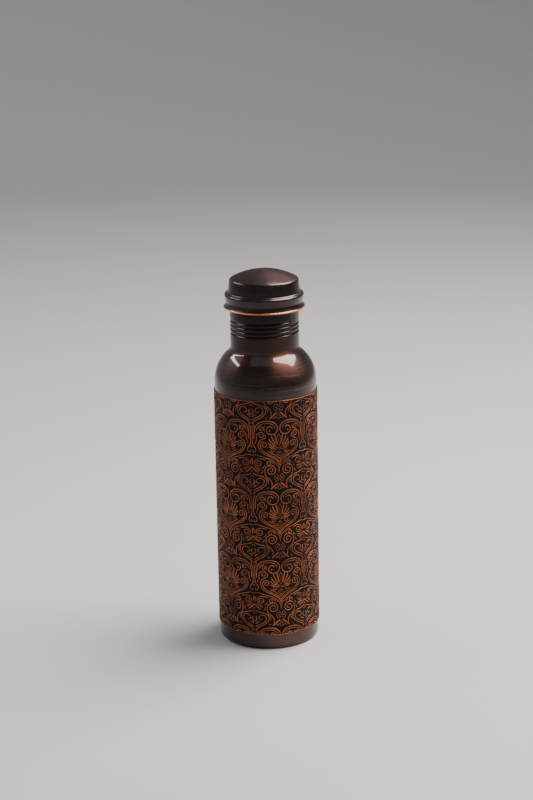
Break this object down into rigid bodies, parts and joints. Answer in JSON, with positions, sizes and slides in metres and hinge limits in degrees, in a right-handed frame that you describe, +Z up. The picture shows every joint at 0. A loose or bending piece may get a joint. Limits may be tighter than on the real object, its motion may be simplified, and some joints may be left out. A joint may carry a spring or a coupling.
{
  "type": "copper water bottle",
  "caption": "Slim spun copper water bottle with an etched sleeve, sloping shoulder, thread-rolled neck and screw-in lid with a flared skirt.",
  "frame": {"origin": "centre of the foot's underside, on the bottle's axis", "axes": "+Z up along the bottle's axis towards the lid; -Y is the front seen in the picture"},
  "size_m": [0.074, 0.074, 0.2722],
  "materials": {
    "antique_copper": "dark oxidised copper, turned and brushed, semi-gloss",
    "etched_copper": "etched copper blackened in the recesses",
    "lid_copper": "dark oxidised copper, polished, with a bright rolled hem",
    "plug_copper": "plain bright copper",
    "silicone": "translucent soft silicone"
  },
  "bodies": {
    "bottle": {"body_shell": "antique_copper", "base_pan": "antique_copper", "neck_collar": "antique_copper", "etched_sleeve": "etched_copper"},
    "seal": {"seal_washer": "silicone"},
    "cap": {"cap_shell": "lid_copper", "plug_cup": "plug_copper"}
  },
  "joints": [
    {"name": "cap_lift", "type": "slide", "parent": "bottle", "child": "seal", "axis": [0, 0, 1], "range_m": [0, 0.0256]},
    {"name": "cap_turn", "type": "hinge", "parent": "seal", "child": "cap", "pos_m": [0, 0, 0.2], "axis": [0, 0, 1], "range_deg": [0, 3060]}
  ],
  "couplings": [
    {"joint": "cap_lift", "follows": "cap_turn", "m_per_rad": 0.00047746}
  ]
}
